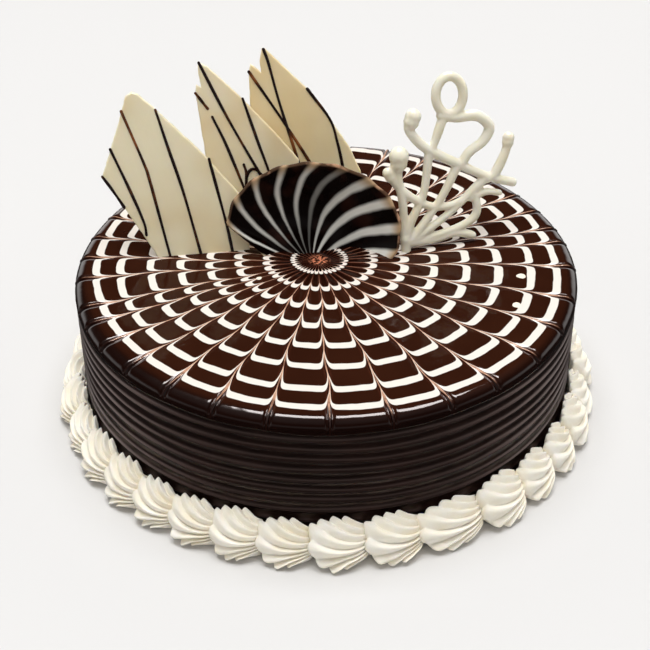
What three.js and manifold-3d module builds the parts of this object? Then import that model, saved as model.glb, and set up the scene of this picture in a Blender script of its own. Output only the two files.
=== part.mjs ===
// A round celebration cake: a dark glaze feathered like a web lies on combed chocolate cream,
// a chain of piped cream shells runs round the foot, and three drizzled white chocolate shards,
// a marbled chocolate fan and a piped white chocolate filigree stand in the top.
// Millimetres, +Z up. The origin is the middle of the cake's foot; the front faces -Y.
import * as THREE from 'three';
import { mergeVertices } from 'three/addons/utils/BufferGeometryUtils.js';
import Module from 'manifold-3d';

const wasm = await Module();
wasm.setup();

// The cake itself
const CAKE_RADIUS = 106;
const CAKE_HEIGHT = 64.7;
const GLAZE_DEPTH = 4.8;
const GLAZE_RIM_RADIUS = 3.6;
const TOUCH_GAP = 0.3;
const ROUND_STEPS = 56;
const RIM_STEPS = 4;
const FOOT_INSET = 0.4;
const TOP_INSET = 0.2;

// The comb's ridges round the side
const COMB_PITCH = 5;
const COMB_DEPTH = 1.1;
const LOWEST_COMB_GROOVE = 12.5;

// The cream shells round the foot: each is fullest towards its head and thins to its tail
const BORDER_INNER_RADIUS = 106.7;
const BORDER_MIDDLE_RADIUS = 112;
const SHELL_HALF_LENGTH = 10.3;
const SHELL_END_INSET = 0.2;
const SHELL_HEIGHT = 19;
const SHELL_LOW_SHARE = 0.35;
const SHELL_REACH = 11.6;
const SHELL_SQUARENESS = 2.3;
const SHELL_TAIL = 0.45;
const SHELL_BULGE_AT = -0.25;
const SHELL_BULGE_SPAN = 1.26;
const SHELL_GIRTH = 11;
const MEAN_SHELL_SIZE = 0.98;
const SHELL_UNEVENNESS = 0.05;

// The ridges on each shell: they start from one point past the tail, dip and fan over the head
const RIDGE_LINES = 17;
const LOWEST_RIDGE_LINE = -18.2;
const RIDGE_SPACING = 5.2;
const RIDGE_HEIGHT = 0.75;
const RIDGE_STEPS = 4;
const RIDGE_STEP_CROWDING = 1.15;
const RIDGE_POINT_PAST_TAIL = 2.2;
const FAN_OUT_AT_TAIL = 0.14;
const FAN_OUT_LENGTH = 21.5;
const RIDGE_DIP = 0.9;
const RIDGE_DIP_AT = 12.5;
const RIDGE_LIFT = 0.023;
const LOW_RIDGE_SPREAD = 0.07;
const LOW_RIDGE_SPREAD_LEAST = 0.8;
// The ridges at mid height reach furthest towards the joint, and the others start further back
const HEAD_END = 23.4;
const HEAD_MIDDLE_LINE = 2.6;
const HEAD_FLAT_SPAN = 3.5;
const HEAD_SLANT = 0.9;
const HEAD_CORNER_AT = 18.5;
const HEAD_CORNER_FROM = 17;
const FOOT_REACH_SHARE = 0.75;
const SHORTEST_RIDGE = 0.4;
const START_SEARCH_STEP = 0.1;
// Where one shell's tail meets the next shell's head, in degrees, on the side that is seen
const SEEN_JOINTS = [218.2, 227.6, 237.0, 246.8, 256.2, 266.6, 277.6, 288.8, 302.8, 314.1, 324.8, 334.0, 344.6];
const UNSEEN_SHELLS = 23;

// The decorations: where each stands on the glaze, its turn about Z and how far it leans back
const LEFT_SHARD_PLACE = { x: -71.9, y: 5.5, turn: 7.4, lean: 16 };
const MIDDLE_SHARD_PLACE = { x: -50, y: 19, turn: 6, lean: 16 };
const RIGHT_SHARD_PLACE = { x: -26, y: 29, turn: 4, lean: 16 };
const FAN_PLACE = { x: -5.9, y: 3.6, turn: -4, lean: 13 };
const FILIGREE_PLACE = { x: 34.3, y: 9, turn: 12, lean: 14 };

// Shards: outlines from the foot up the left side, over the tip and down the right side
const SHARD_THICKNESS = 3;
const SHARD_BEVEL = 0.5;
const SHARD_SUNK = 9;
const SLOT_ABOVE_GLAZE = 4;
const SLOT_SPARE = 0.4;
const LEFT_SHARD = [
  [0.6, -SHARD_SUNK], [0, 0], [-4.2, 8], [-12.2, 22.6], [-20, 36.8], [-15.4, 48], [-9.4, 63.4],
  [-7.4, 69.4], [-4.8, 71], [-2.3, 70], [4.8, 63], [20.8, 45.4], [37.2, 24.2], [39.5, 9], [39.5, -SHARD_SUNK],
];
const MIDDLE_SHARD = [
  [1.8, -SHARD_SUNK], [0.2, 36.5], [-1.1, 51.7], [-2.2, 64.3], [-1.7, 67.4], [0.4, 66.4], [-0.5, 72],
  [-0.5, 75.6], [0.6, 76.6], [3.6, 74.8], [17.5, 60.4], [30.7, 45], [40.1, 33], [38, 12], [36, -SHARD_SUNK],
];
const RIGHT_SHARD = [
  [-5, -SHARD_SUNK], [-4.7, 54.8], [-4.6, 68.3], [-3.8, 71.6], [-1.6, 70], [0.6, 67.7], [0.2, 73],
  [1.4, 78.2], [2.6, 78], [4.9, 75.7], [20.1, 60.1], [29.3, 47], [37.3, 34.7], [42.4, 22.9], [43, -SHARD_SUNK],
];

// The dark drizzle lines that lie raised on the shards' fronts
const DRIZZLE_WIDTH = 1.3;
const DRIZZLE_HEIGHT = 0.5;
const LEFT_DRIZZLE = [
  [[-9, 62.4], [-2.3, 41], [2.2, 17.7], [5.2, 0.6]],
  [[4.6, 62.2], [8.5, 46], [13.1, 27.3], [18.3, 0.6]],
  [[-15, 47.4], [-9.1, 29.9], [-3.4, 12.4]],
  [[25.1, 39.6], [30.1, 12.9], [31.9, 0.6]],
];
const MIDDLE_DRIZZLE = [
  [[0.6, 75.6], [10.7, 52.6], [23.4, 26.9], [29, 15]],
  [[17.5, 59.6], [22.7, 42.3], [29.6, 17]],
  [[-1.4, 63], [4.1, 53.8], [9.2, 41.5], [18.6, 13]],
];
const RIGHT_DRIZZLE = [
  [[-3.8, 67.4], [10, 45.4], [19.8, 28.7], [28, 14]],
  [[2, 77.2], [3.9, 71.8], [8, 54.3], [18, 16]],
  [[20.3, 59.2], [29.3, 46.4], [34.3, 26], [35.4, 14]],
];

// The fan: an oval dish edge standing on its low side, and the dish's depth
const FAN_HALF_WIDTH = 37.2;
const FAN_HALF_HEIGHT = 29.7;
const FAN_CENTRE = new THREE.Vector2(0.5, 12.3);
const FAN_SUNK = 4;
const FAN_DEPTH = 9;
const FAN_LEFT_DEPTH = 4;
const FAN_DEEP_UNTIL = 1.6;
const FAN_SHALLOW_FROM = 2.7;
const FAN_THICKNESS = 2;
const FAN_ARC_STEPS = 22;
const FAN_REACH_STEPS = 5;
const FAN_HOLLOW_CURVE = 0.85;
const FAN_LEFT_CORNER = new THREE.Vector2(-36.3, 13.5);
const FAN_LEFT_FOOT = new THREE.Vector2(-23.1, 1.9);
const FAN_SLOT_GROWTH = 0.45;
const FAN_SLOT_SPREAD = 0.12;

// The filigree: one piped stroke a line, in millimetres across and up from its root
const STROKE_RADIUS = 2.1;
const STROKE_SIDES = 5;
const STEPS_PER_POINT = 1.3;
const LOOP_POINTS = 10;
const PEG_RADIUS = 2.6;
const PEG_SUNK = 9;
const PEG_TOP = 5.4;
const PEG_ACROSS = 0.2;
const LOOP_CENTRE = new THREE.Vector2(21.4, 65.2);
const LOOP_HALF_WIDTH = 5.9;
const LOOP_HALF_HEIGHT = 7.9;
const STROKES = {
  neck: [[18.4, 56.2], [14.5, 46.2], [12.6, 42.6]],
  crook: [[17.5, 57], [24, 55.6], [33, 55.4], [38.4, 50.2], [35.8, 44.4], [29.5, 40.1], [25.8, 35.4]],
  longBar: [[5.3, 58.1], [3.2, 53.6], [6.4, 48], [11.8, 43], [23.7, 35.8], [36.6, 28.8], [48.4, 24.6]],
  rightStick: [[46.9, 44.6], [45.4, 38.3], [40.6, 29.4], [37, 27.4]],
  leftStem: [[-1.1, 42.5], [-2, 32], [-0.4, 22], [-0.2, 3.4]],
  lowerArc: [[-6.6, 35.6], [-2.7, 29.4], [3.7, 23], [12, 18.2], [21, 17.7], [29.1, 21.3], [37, 28.2]],
  firstSpoke: [[0.6, 3.4], [2.6, 11.6], [8.8, 24.1], [11.8, 41.5]],
  secondSpoke: [[1, 3.4], [4.4, 6], [16.6, 21.4], [24.2, 35]],
  thirdSpoke: [[1.2, 3.2], [6, 5.2], [20.9, 14.9], [31.4, 24], [36.6, 28.4]],
  highTwig: [[29.6, 19.6], [36.5, 21.8], [42.4, 20.6]],
  bow: [[31.6, 21.4], [32, 12.6], [25.3, 7.8], [11.5, 4.6], [1.4, 3]],
  lowTwig: [[1.6, 2.9], [14.3, 3.2], [21.8, 5], [28, 3.8], [30, 2.9]],
};
const KNOBS = [
  { across: 5.5, up: 58, radius: 3.5 },
  { across: -1.2, up: 41.6, radius: 4.4 },
  { across: 46.9, up: 44.2, radius: 2.7 },
  { across: -6.2, up: 35, radius: 2.4 },
];

const BROWN_CREAM = new THREE.MeshStandardMaterial({ color: 0x241a18, roughness: 0.5 });
const DARK_GLAZE = new THREE.MeshStandardMaterial({ color: 0x3a1e15, roughness: 0.12 });
const WHITE_CREAM = new THREE.MeshStandardMaterial({ color: 0xf6f2e6, roughness: 0.55 });
const WHITE_CHOCOLATE = new THREE.MeshStandardMaterial({ color: 0xd9d2b4, roughness: 0.4 });
const MARBLED_CHOCOLATE = new THREE.MeshStandardMaterial({ color: 0x2a1a14, roughness: 0.2 });

// Turns a closed geometry into a solid that can be joined and cut.
function toSolid(geometry) {
  const bare = geometry.clone();
  bare.deleteAttribute('normal');
  bare.deleteAttribute('uv');
  const merged = mergeVertices(bare, 1e-4);
  const corners = [];
  for (let i = 0; i < merged.index.count; i += 3) {
    const [a, b, c] = [0, 1, 2].map((step) => merged.index.getX(i + step));
    if (a !== b && b !== c && c !== a) corners.push(a, b, c);
  }
  const vertProperties = Float32Array.from(merged.attributes.position.array);
  return new wasm.Manifold(new wasm.Mesh({ numProp: 3, vertProperties, triVerts: Uint32Array.from(corners) }));
}

// Turns a solid back into a geometry.
function toGeometry(solid) {
  const { vertProperties, triVerts } = solid.getMesh();
  const geometry = new THREE.BufferGeometry();
  geometry.setAttribute('position', new THREE.BufferAttribute(vertProperties, 3));
  geometry.setIndex(new THREE.BufferAttribute(triVerts, 1));
  return geometry;
}

// Makes a geometry from points and from triangles given by the points' numbers.
function surfaceFrom(points, triangles) {
  const geometry = new THREE.BufferGeometry().setFromPoints(points);
  geometry.setIndex(triangles.flat());
  return geometry;
}

function namedMesh(name, geometry, material) {
  geometry.computeVertexNormals();
  const mesh = new THREE.Mesh(geometry, material);
  mesh.name = name;
  return mesh;
}

// Turns a profile of [radius, height] pairs about the Z axis.
function turned(profile) {
  const points = profile.map(([radius, height]) => new THREE.Vector2(radius, height));
  return new THREE.LatheGeometry(points, ROUND_STEPS).rotateX(Math.PI / 2);
}

// ---- Cake ----

// The combed side: crests and grooves alternate up the wall, down to where the border hides them.
function cakeBody() {
  const top = CAKE_HEIGHT - GLAZE_DEPTH - TOUCH_GAP;
  const profile = [[0, 0], [CAKE_RADIUS - FOOT_INSET, 0]];
  for (let height = LOWEST_COMB_GROOVE; height < top; height += COMB_PITCH) {
    profile.push([CAKE_RADIUS, height - COMB_PITCH / 2]);
    profile.push([CAKE_RADIUS - COMB_DEPTH, height]);
  }
  profile.push([CAKE_RADIUS - TOP_INSET, top], [0, top]);
  return turned(profile);
}

// The poured glaze: a flat disc with a round upper rim.
function glazeDisc() {
  const profile = [[0, CAKE_HEIGHT - GLAZE_DEPTH], [CAKE_RADIUS - FOOT_INSET, CAKE_HEIGHT - GLAZE_DEPTH]];
  for (let step = 0; step <= RIM_STEPS; step += 1) {
    const angle = (step / RIM_STEPS) * (Math.PI / 2);
    profile.push([
      CAKE_RADIUS - GLAZE_RIM_RADIUS * (1 - Math.cos(angle)),
      CAKE_HEIGHT - GLAZE_RIM_RADIUS * (1 - Math.sin(angle)),
    ]);
  }
  profile.push([0, CAKE_HEIGHT]);
  return turned(profile);
}

// ---- Cream shells ----

// How full a shell is, 1 at most, from the head at -1 along it to the tail at 1.
function shellFullness(along) {
  const swell = Math.sqrt(Math.max(0, 1 - ((along - SHELL_BULGE_AT) / SHELL_BULGE_SPAN) ** 2));
  return SHELL_TAIL + (1 - SHELL_TAIL) * swell;
}

// How far along the shell's axis, from its middle, a point is that lies so far from the point
// where the ridges meet.
function acrossAt(distance) {
  return SHELL_HALF_LENGTH + RIDGE_POINT_PAST_TAIL - distance;
}

// How far a ridge line lies above or below the shell's middle, measured round its girth.
function ridgeLineAt(line, distance) {
  const fanOut = FAN_OUT_AT_TAIL + (1 - FAN_OUT_AT_TAIL) * distance / FAN_OUT_LENGTH;
  const spread = Math.max(1 + LOW_RIDGE_SPREAD * (distance - RIDGE_DIP_AT), LOW_RIDGE_SPREAD_LEAST);
  const spreadLine = line < 0 ? line * spread : line;
  return spreadLine * fanOut - RIDGE_DIP + RIDGE_LIFT * (distance - RIDGE_DIP_AT) ** 2;
}

// Where a ridge line starts: at the head's rounded end or, if it comes out there, on the cake's side.
function ridgeStart(line, headEnd, tailEnd) {
  const fromMiddle = Math.max(0, Math.abs(line - HEAD_MIDDLE_LINE) - HEAD_FLAT_SPAN);
  let start = Math.min(headEnd, HEAD_END - HEAD_SLANT * fromMiddle);
  while (start > tailEnd + SHORTEST_RIDGE) {
    const fullness = shellFullness(acrossAt(start) / SHELL_HALF_LENGTH);
    if (Math.abs(ridgeLineAt(line, start)) <= SHELL_GIRTH * fullness) break;
    start -= START_SEARCH_STEP;
  }
  return start;
}

// One shell: ridge and groove lines run from the head's edge to the tail, and flat faces close
// the side towards the cake and the foot.
function creamShell(startAngle, endAngle, size) {
  const stretch = (endAngle - startAngle) * BORDER_MIDDLE_RADIUS / (2 * SHELL_HALF_LENGTH);
  const middleAngle = (startAngle + endAngle) / 2;
  const headEnd = 2 * SHELL_HALF_LENGTH + RIDGE_POINT_PAST_TAIL - SHELL_END_INSET;
  const tailEnd = RIDGE_POINT_PAST_TAIL + SHELL_END_INSET;
  const points = [];
  const place = (across, out, up) => {
    const angle = middleAngle + across * stretch / BORDER_MIDDLE_RADIUS;
    points.push(new THREE.Vector3(out * Math.cos(angle), out * Math.sin(angle), up));
    return points.length - 1;
  };
  const starts = [];
  const lines = [];
  for (let number = 0; number < RIDGE_LINES; number += 1) {
    const line = LOWEST_RIDGE_LINE + (number * RIDGE_SPACING) / 2;
    const bump = RIDGE_HEIGHT * (number % 2 === 1 ? 1 : -1);
    const onFloor = number === 0;
    const start = ridgeStart(line, headEnd, tailEnd);
    starts.push(start);
    const row = [];
    for (let step = 0; step <= RIDGE_STEPS; step += 1) {
      const distance = THREE.MathUtils.lerp(start, tailEnd, (step / RIDGE_STEPS) ** RIDGE_STEP_CROWDING);
      const across = acrossAt(distance);
      const fullness = shellFullness(across / SHELL_HALF_LENGTH);
      const share = THREE.MathUtils.clamp(ridgeLineAt(line, distance) / (SHELL_GIRTH * fullness), -1, 1);
      const swing = onFloor ? 0 : (share + 1) * (Math.PI / 4);
      const reach = SHELL_REACH * size * fullness;
      const height = SHELL_HEIGHT * size * THREE.MathUtils.lerp(SHELL_LOW_SHARE, 1, fullness);
      const even = (Math.cos(swing) / reach) ** SHELL_SQUARENESS + (Math.sin(swing) / height) ** SHELL_SQUARENESS;
      const ray = (even ** (-1 / SHELL_SQUARENESS) + bump * fullness) * (onFloor ? FOOT_REACH_SHARE : 1);
      row.push(place(across, BORDER_INNER_RADIUS + ray * Math.cos(swing), ray * Math.sin(swing)));
    }
    lines.push(row);
  }
  const headCorner = place(acrossAt(HEAD_CORNER_AT), BORDER_INNER_RADIUS, 0);
  const middleCorner = place(0, BORDER_INNER_RADIUS, 0);
  const tailCorner = place(acrossAt(tailEnd), BORDER_INNER_RADIUS, 0);

  const triangles = [];
  const lastLine = RIDGE_LINES - 1;
  for (let number = 0; number < lastLine; number += 1) {
    for (let step = 0; step < RIDGE_STEPS; step += 1) {
      const [low, high] = [lines[number], lines[number + 1]];
      triangles.push([low[step], low[step + 1], high[step + 1]], [low[step], high[step + 1], high[step]]);
    }
    triangles.push([tailCorner, lines[number + 1][RIDGE_STEPS], lines[number][RIDGE_STEPS]]);
  }
  for (let step = 0; step < RIDGE_STEPS; step += 1) {
    triangles.push([middleCorner, lines[0][step + 1], lines[0][step]]);
    triangles.push([middleCorner, lines[lastLine][step], lines[lastLine][step + 1]]);
  }
  triangles.push([middleCorner, tailCorner, lines[0][RIDGE_STEPS]]);
  triangles.push([tailCorner, middleCorner, lines[lastLine][RIDGE_STEPS]]);
  let corner = middleCorner;
  for (let number = 0; number < lastLine; number += 1) {
    const atHead = Math.max(starts[number], starts[number + 1]) > HEAD_CORNER_FROM;
    const nextCorner = atHead ? headCorner : middleCorner;
    if (nextCorner !== corner) triangles.push([corner, lines[number][0], nextCorner]);
    corner = nextCorner;
    triangles.push([corner, lines[number][0], lines[number + 1][0]]);
  }
  return surfaceFrom(points, triangles);
}

// The angles in radians at which shells meet, once round the cake.
function shellJoints() {
  const joints = [...SEEN_JOINTS];
  const last = SEEN_JOINTS[SEEN_JOINTS.length - 1];
  const gap = (SEEN_JOINTS[0] + 360 - last) / UNSEEN_SHELLS;
  for (let number = 1; number <= UNSEEN_SHELLS; number += 1) joints.push(last + number * gap);
  return joints.map(THREE.MathUtils.degToRad);
}

function creamBorder() {
  const joints = shellJoints();
  const shells = [];
  for (let number = 0; number < joints.length - 1; number += 1) {
    const size = MEAN_SHELL_SIZE + SHELL_UNEVENNESS * Math.sin(2.4 * number + 1);
    const name = `cream_shell_${String(number + 1).padStart(2, '0')}`;
    shells.push(namedMesh(name, creamShell(joints[number], joints[number + 1], size), WHITE_CREAM));
  }
  return shells;
}

// ---- Decorations that stand in the top ----

// The place of an upright decoration: X runs across it, Y up it and Z towards the front.
function standing(place) {
  return new THREE.Matrix4()
    .makeTranslation(place.x, place.y, CAKE_HEIGHT)
    .multiply(new THREE.Matrix4().makeRotationZ(THREE.MathUtils.degToRad(place.turn)))
    .multiply(new THREE.Matrix4().makeRotationX(THREE.MathUtils.degToRad(90 - place.lean)));
}

// A smooth curve through points given across and up the decoration's own plane.
function smoothLine(points, closed = false) {
  return new THREE.CatmullRomCurve3(points.map(([across, up]) => new THREE.Vector3(across, up, 0)), closed);
}

// Sweeps a section of [forward, sideways] corners along a curve.
function sweep(section, curve, steps) {
  const shape = new THREE.Shape(section.map(([forward, sideways]) => new THREE.Vector2(forward, sideways)));
  return new THREE.ExtrudeGeometry(shape, { steps, bevelEnabled: false, extrudePath: curve });
}

// A broken piece of a poured chocolate sheet, its front face in the plane of its outline, with
// lines of drizzle on it.
function shard(outline, drizzle) {
  const shape = new THREE.Shape(outline.map(([across, up]) => new THREE.Vector2(across, up)));
  const geometry = new THREE.ExtrudeGeometry(shape, {
    depth: SHARD_THICKNESS - 2 * SHARD_BEVEL,
    bevelThickness: SHARD_BEVEL,
    bevelSize: SHARD_BEVEL,
    bevelOffset: -SHARD_BEVEL,
    bevelSegments: 1,
  });
  let solid = toSolid(geometry.translate(0, 0, SHARD_BEVEL - SHARD_THICKNESS));
  const section = [
    [-DRIZZLE_HEIGHT, -DRIZZLE_WIDTH / 2],
    [DRIZZLE_HEIGHT, -DRIZZLE_WIDTH / 2],
    [DRIZZLE_HEIGHT, DRIZZLE_WIDTH / 2],
    [-DRIZZLE_HEIGHT, DRIZZLE_WIDTH / 2],
  ];
  for (const line of drizzle) {
    solid = solid.add(toSolid(sweep(section, smoothLine(line), line.length)));
  }
  return toGeometry(solid);
}

// The slot that a shard stands in, a little wider than its foot.
function shardSlot(outline) {
  const left = Math.min(outline[0][0], outline[1][0]) - SLOT_SPARE;
  const right = Math.max(outline.at(-1)[0], outline.at(-2)[0]) + SLOT_SPARE;
  const [low, high] = [-SHARD_SUNK - SLOT_SPARE, SLOT_ABOVE_GLAZE];
  const slot = new THREE.BoxGeometry(right - left, high - low, SHARD_THICKNESS + 2 * TOUCH_GAP);
  return slot.translate((left + right) / 2, (low + high) / 2, -SHARD_THICKNESS / 2);
}

// How far the fan reaches from its root in one direction: to the oval edge, or to the straight
// edge that slants down to the foot on the left.
function fanReach(direction) {
  const across = -FAN_CENTRE.x / FAN_HALF_WIDTH;
  const up = (-FAN_SUNK - FAN_CENTRE.y) / FAN_HALF_HEIGHT;
  const stepAcross = Math.cos(direction) / FAN_HALF_WIDTH;
  const stepUp = Math.sin(direction) / FAN_HALF_HEIGHT;
  const a = stepAcross ** 2 + stepUp ** 2;
  const b = across * stepAcross + up * stepUp;
  const c = across ** 2 + up ** 2 - 1;
  const toOval = (-b + Math.sqrt(b * b - a * c)) / a;
  const edge = new THREE.Vector2().subVectors(FAN_LEFT_FOOT, FAN_LEFT_CORNER).normalize();
  const normal = new THREE.Vector2(edge.y, -edge.x);
  const towards = normal.x * Math.cos(direction) + normal.y * Math.sin(direction);
  const toEdge = (FAN_LEFT_FOOT.x * normal.x + (FAN_LEFT_FOOT.y + FAN_SUNK) * normal.y) / towards;
  return towards > 0 ? Math.min(toOval, toEdge) : toOval;
}

// The fan: a dish with its rim in the plane of standing and its hollow towards the front. The
// hollow is deep over the root and shallow on the left. Growth widens it into its own slot.
function fan(growth) {
  const points = [];
  const spread = growth * FAN_SLOT_SPREAD;
  const sheet = (behind) => {
    const rows = [];
    for (let arc = 0; arc <= FAN_ARC_STEPS; arc += 1) {
      const direction = THREE.MathUtils.lerp(-spread, Math.PI + spread, arc / FAN_ARC_STEPS);
      const reach = fanReach(direction) + growth;
      const leftward = THREE.MathUtils.smoothstep(direction, FAN_DEEP_UNTIL, FAN_SHALLOW_FROM);
      const depth = THREE.MathUtils.lerp(FAN_DEPTH, FAN_LEFT_DEPTH, leftward);
      const row = [];
      for (let step = 1; step <= FAN_REACH_STEPS; step += 1) {
        const share = step / FAN_REACH_STEPS;
        const hollow = depth * Math.sin(Math.PI * share ** FAN_HOLLOW_CURVE);
        points.push(new THREE.Vector3(
          reach * share * Math.cos(direction),
          -FAN_SUNK + reach * share * Math.sin(direction),
          -hollow - behind,
        ));
        row.push(points.length - 1);
      }
      rows.push(row);
    }
    points.push(new THREE.Vector3(0, -FAN_SUNK - growth, -behind));
    return { rows, root: points.length - 1 };
  };
  const front = sheet(-2 * growth);
  const back = sheet(FAN_THICKNESS + growth);
  const triangles = [];
  const cover = (side, flip) => {
    for (let arc = 0; arc < FAN_ARC_STEPS; arc += 1) {
      const [here, next] = [side.rows[arc], side.rows[arc + 1]];
      const faces = [[side.root, here[0], next[0]]];
      for (let step = 0; step < FAN_REACH_STEPS - 1; step += 1) {
        faces.push([here[step], here[step + 1], next[step + 1]], [here[step], next[step + 1], next[step]]);
      }
      triangles.push(...(flip ? faces.map(([a, b, c]) => [a, c, b]) : faces));
    }
  };
  cover(front, false);
  cover(back, true);
  const edgeOf = (side) => [
    side.root,
    ...side.rows[0],
    ...side.rows.slice(1, -1).map((row) => row[FAN_REACH_STEPS - 1]),
    ...side.rows[FAN_ARC_STEPS].slice().reverse(),
  ];
  const [frontEdge, backEdge] = [edgeOf(front), edgeOf(back)];
  frontEdge.forEach((corner, i) => {
    const next = (i + 1) % frontEdge.length;
    triangles.push([corner, backEdge[i], backEdge[next]], [corner, backEdge[next], frontEdge[next]]);
  });
  return surfaceFrom(points, triangles);
}

// One piped stroke: a round section swept along a curve.
function stroke(curve, radius, steps) {
  const section = [];
  for (let side = 0; side < STROKE_SIDES; side += 1) {
    const angle = (side / STROKE_SIDES) * 2 * Math.PI;
    section.push([radius * Math.cos(angle), radius * Math.sin(angle)]);
  }
  return sweep(section, curve, steps);
}

// The filigree: all strokes and knobs joined, with a peg that goes down into the cake.
function filigree() {
  const pieces = [];
  for (const points of Object.values(STROKES)) {
    pieces.push(stroke(smoothLine(points), STROKE_RADIUS, Math.round(points.length * STEPS_PER_POINT)));
  }
  const loop = [];
  for (let number = 0; number < LOOP_POINTS; number += 1) {
    const angle = (number / LOOP_POINTS) * 2 * Math.PI;
    const across = LOOP_CENTRE.x + LOOP_HALF_WIDTH * Math.cos(angle);
    loop.push([across, LOOP_CENTRE.y + LOOP_HALF_HEIGHT * Math.sin(angle)]);
  }
  pieces.push(stroke(smoothLine(loop, true), STROKE_RADIUS, LOOP_POINTS));
  pieces.push(stroke(smoothLine([[PEG_ACROSS, -PEG_SUNK], [PEG_ACROSS, PEG_TOP]]), PEG_RADIUS, 1));
  for (const knob of KNOBS) {
    pieces.push(new THREE.SphereGeometry(knob.radius, 7, 5).translate(knob.across, knob.up, 0));
  }
  return toGeometry(pieces.map(toSolid).reduce((whole, piece) => whole.add(piece)));
}

function pegHole() {
  const radius = PEG_RADIUS + SLOT_SPARE;
  const [low, high] = [-PEG_SUNK - SLOT_SPARE, SLOT_ABOVE_GLAZE];
  return new THREE.CylinderGeometry(radius, radius, high - low, 12).translate(PEG_ACROSS, (low + high) / 2, 0);
}

// ---- The whole cake ----

const decorations = [
  {
    name: 'shard_left',
    place: LEFT_SHARD_PLACE,
    make: () => shard(LEFT_SHARD, LEFT_DRIZZLE),
    slot: () => shardSlot(LEFT_SHARD),
    look: WHITE_CHOCOLATE,
  },
  {
    name: 'shard_middle',
    place: MIDDLE_SHARD_PLACE,
    make: () => shard(MIDDLE_SHARD, MIDDLE_DRIZZLE),
    slot: () => shardSlot(MIDDLE_SHARD),
    look: WHITE_CHOCOLATE,
  },
  {
    name: 'shard_right',
    place: RIGHT_SHARD_PLACE,
    make: () => shard(RIGHT_SHARD, RIGHT_DRIZZLE),
    slot: () => shardSlot(RIGHT_SHARD),
    look: WHITE_CHOCOLATE,
  },
  {
    name: 'chocolate_fan',
    place: FAN_PLACE,
    make: () => fan(0),
    slot: () => fan(FAN_SLOT_GROWTH),
    look: MARBLED_CHOCOLATE,
  },
  { name: 'filigree', place: FILIGREE_PLACE, make: filigree, slot: pegHole, look: WHITE_CHOCOLATE },
];

// Opens the slots that the decorations stand in.
function withSlots(geometry) {
  let solid = toSolid(geometry);
  for (const { place, slot } of decorations) {
    solid = solid.subtract(toSolid(slot().applyMatrix4(standing(place))));
  }
  return toGeometry(solid);
}

const cake = new THREE.Group();
cake.add(namedMesh('cake_body', withSlots(cakeBody()), BROWN_CREAM));
cake.add(namedMesh('web_glaze', withSlots(glazeDisc()), DARK_GLAZE));

const border = new THREE.Group();
border.add(...creamBorder());
cake.add(border);

for (const { name, place, make, look } of decorations) {
  const mesh = namedMesh(name, make(), look);
  standing(place).decompose(mesh.position, mesh.quaternion, mesh.scale);
  cake.add(mesh);
}

export default cake;
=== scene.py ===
import math

import bpy
import numpy as np
from mathutils import Matrix, Vector


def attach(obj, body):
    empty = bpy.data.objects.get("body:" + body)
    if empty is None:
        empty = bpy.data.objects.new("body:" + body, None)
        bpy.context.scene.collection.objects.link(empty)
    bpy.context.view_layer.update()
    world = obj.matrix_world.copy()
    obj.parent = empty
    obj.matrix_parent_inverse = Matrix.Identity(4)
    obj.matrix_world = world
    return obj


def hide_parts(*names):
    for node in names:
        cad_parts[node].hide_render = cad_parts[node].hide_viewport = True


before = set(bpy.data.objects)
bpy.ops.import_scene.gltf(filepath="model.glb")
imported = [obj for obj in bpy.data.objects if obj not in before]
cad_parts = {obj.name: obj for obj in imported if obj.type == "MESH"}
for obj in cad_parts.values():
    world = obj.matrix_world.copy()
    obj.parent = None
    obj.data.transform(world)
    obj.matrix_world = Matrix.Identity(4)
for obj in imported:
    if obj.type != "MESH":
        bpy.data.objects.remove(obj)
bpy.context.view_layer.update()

MM = 0.001
# The round ends of a stroke have a ring of points at each of these angles, in degrees
CAP_ANGLES = (30, 60, 80)

# The cake
CAKE_RADIUS = 106.0
CAKE_HEIGHT = 64.7
COMB_PITCH = 5.0
COMB_DEPTH = 1.2
COMB_CREST_WIDTH = 0.18
COMB_CREST_ROUNDING = 0.025
LOWEST_COMB_GROOVE = 12.5
COMB_BOTTOM = 1.0
COMB_TOP = 60.2
SIDE_COLUMNS = 600
PLAIN_FOOT_ROWS = [0.0, 0.4]
# The rows of one groove, from its deepest line over the crest, as shares of the pitch
GROOVE_ROWS = [0.0, 0.14, 0.27, 0.37, 0.43, 0.47, 0.5, 0.53, 0.57, 0.63, 0.73, 0.86]
# How the comb wandered up and down: the height of each wave, how many go round and its start
COMB_WANDER = [(0.2, 3, 0.8), (0.1, 8, 2.1), (0.04, 19, 0)]
WANDER_FADE_AT_FOOT = 6
WANDER_FADE_AT_TOP = 3
SIDE_RIPPLE_LENGTH = 12.0
SIDE_RIPPLE_HEIGHT = 0.02

# The glaze: a rim that curves down and in this far, and a lip that hangs below it
GLAZE_RIM_HEIGHT = 3.6
GLAZE_RIM_WIDTH = 5.0
GLAZE_LIP_HEIGHT = 58.9
GLAZE_LIP_ROUNDING = 0.35
GLAZE_LIP_DEPTH = 2.2
# How the lip droops, as waves like the comb's, and how far below the top that starts and ends
GLAZE_DROOP = [(0.35, 6, 1), (0.2, 17, 0)]
DROOP_DEPTHS = (3.5, 5.5)
GLAZE_TOP_ROWS = 46
GLAZE_RIM_ROWS = 16
INNERMOST_ROW = 0.008

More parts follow.
